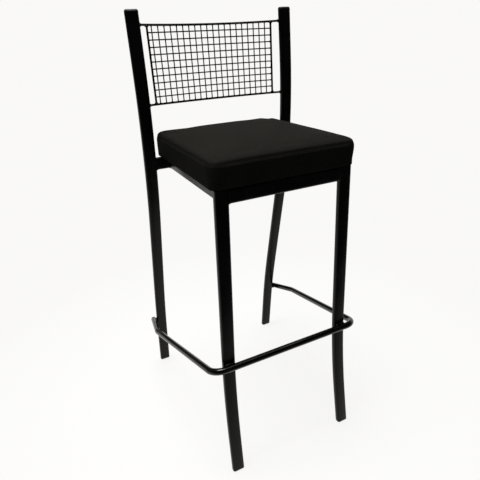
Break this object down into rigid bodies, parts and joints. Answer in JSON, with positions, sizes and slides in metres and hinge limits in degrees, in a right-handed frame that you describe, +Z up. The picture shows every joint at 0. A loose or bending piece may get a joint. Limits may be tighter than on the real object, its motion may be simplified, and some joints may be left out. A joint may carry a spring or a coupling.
{
  "type": "bar stool with footrest",
  "caption": "Tall four-legged stool of bent flat-sided steel tube with a sloping bent round footrest, a boxed cushion and a low back of welded wire mesh.",
  "frame": {"origin": "on the floor, midway between the feet", "axes": "+Z up, the front of the seat faces -Y, +X to the right of someone looking at the front"},
  "size_m": [0.4844, 0.5134, 1.0495],
  "materials": {
    "frame": "semi-gloss black powder coat",
    "footrest": "glossy black powder coat",
    "wire": "semi-gloss black powder coat",
    "plug": "black moulded plastic",
    "cover": "matte black leatherette",
    "foam": "pale open-cell foam",
    "board": "plain plywood",
    "fastener": "bright zinc plate"
  },
  "bodies": {
    "root": {"front_leg_left": "frame", "front_leg_right": "frame", "back_leg_left": "frame", "back_leg_right": "frame", "foot_front_left": "plug", "foot_front_right": "plug", "foot_back_left": "plug", "foot_back_right": "plug", "post_cap_left": "plug", "post_cap_right": "plug", "seat_front_rail": "frame", "seat_rear_rail": "frame", "seat_side_rail_left": "frame", "seat_side_rail_right": "frame", "footrest": "footrest", "footrest_plug_left": "footrest", "footrest_plug_right": "footrest", "backrest_top_wire": "wire", "backrest_bottom_wire": "wire", "backrest_end_wire_left": "wire", "backrest_end_wire_right": "wire", "mesh_vertical_wires": "wire", "mesh_horizontal_wires": "wire", "seat_cover": "cover", "seat_foam": "foam", "seat_board": "board", "seat_bracket_front_left": "frame", "seat_bracket_front_right": "frame", "seat_bracket_back_left": "frame", "seat_bracket_back_right": "frame", "seat_bolts": "fastener", "seat_washers": "fastener", "seat_tee_nuts": "fastener"}
  },
  "joints": []
}
